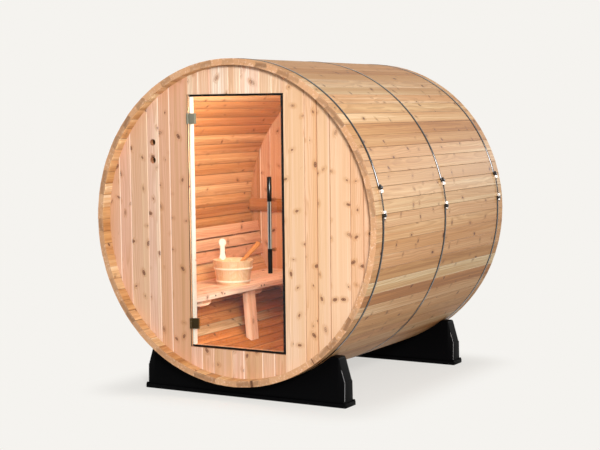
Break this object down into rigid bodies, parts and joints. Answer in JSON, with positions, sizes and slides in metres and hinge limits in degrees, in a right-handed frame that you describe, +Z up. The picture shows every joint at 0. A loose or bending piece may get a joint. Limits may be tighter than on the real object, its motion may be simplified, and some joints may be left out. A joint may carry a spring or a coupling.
{
  "type": "barrel sauna",
  "caption": "Round wooden garden sauna cabin of lengthwise staves on cradles, with a hinged glass door, a bench and a water bucket with ladle inside.",
  "frame": {"origin": "on the ground under the middle of the barrel, at the middle of the bounding box's base", "axes": "+Z up, the door faces -Y, the barrel lies along Y, +X to the right of someone facing the door"},
  "size_m": [1.8474, 1.75, 1.9093],
  "materials": {
    "staves": "planed cedar, untreated",
    "wall_boards": "planed cedar boards, untreated",
    "bench_timber": "planed cedar, untreated",
    "lining": "planed cedar, untreated",
    "bucket_wood": "sanded pine, untreated",
    "ladle_wood": "turned and sanded",
    "door_glass": "clear toughened glass, polished edges",
    "seal": "matte extrusion",
    "door_pull": "polished stainless tube",
    "hinge_metal": "satin nickel",
    "band_steel": "bright rolled stainless strip",
    "tensioner_steel": "black oxide, semi-gloss",
    "cradle": "black moulded plastic, fine texture",
    "bucket_hoop": "bent wood strip"
  },
  "bodies": {
    "cabin": {"stave_segment_01": "staves", "stave_segment_02": "staves", "stave_segment_03": "staves", "stave_segment_04": "staves", "stave_segment_05": "staves", "stave_segment_06": "staves", "stave_segment_07": "staves", "stave_segment_08": "staves", "stave_segment_09": "staves", "stave_segment_10": "staves", "stave_segment_11": "staves", "stave_segment_12": "staves", "stave_segment_13": "staves", "front_wall_left": "wall_boards", "front_wall_right": "wall_boards", "front_wall_over_door": "wall_boards", "front_wall_under_door": "wall_boards", "back_wall": "wall_boards", "back_wall_batten": "bench_timber", "door_lining": "lining", "hinge_upper_wall_leaf": "hinge_metal", "hinge_lower_wall_leaf": "hinge_metal", "band_front": "band_steel", "tensioner_front": "tensioner_steel", "band_middle": "band_steel", "tensioner_middle": "tensioner_steel", "band_back": "band_steel", "tensioner_back": "tensioner_steel", "cradle_front": "cradle", "cradle_back": "cradle", "bench_seat_boards": "bench_timber", "bench_fascia": "bench_timber", "bench_bearers": "bench_timber", "bench_leg": "bench_timber", "backrest_slats": "bench_timber", "backrest_battens": "bench_timber", "bucket": "bucket_wood", "bucket_hoops": "bucket_hoop", "ladle": "ladle_wood"},
    "door": {"door_glass": "door_glass", "door_seal": "seal", "door_pull": "door_pull", "hinge_upper_glass_clamp": "hinge_metal", "hinge_lower_glass_clamp": "hinge_metal"}
  },
  "joints": [
    {"name": "door_hinge", "type": "hinge", "parent": "cabin", "child": "door", "pos_m": [-0.31, -0.8125, 0.994], "axis": [0, 0, -1], "range_deg": [0, 110]}
  ]
}
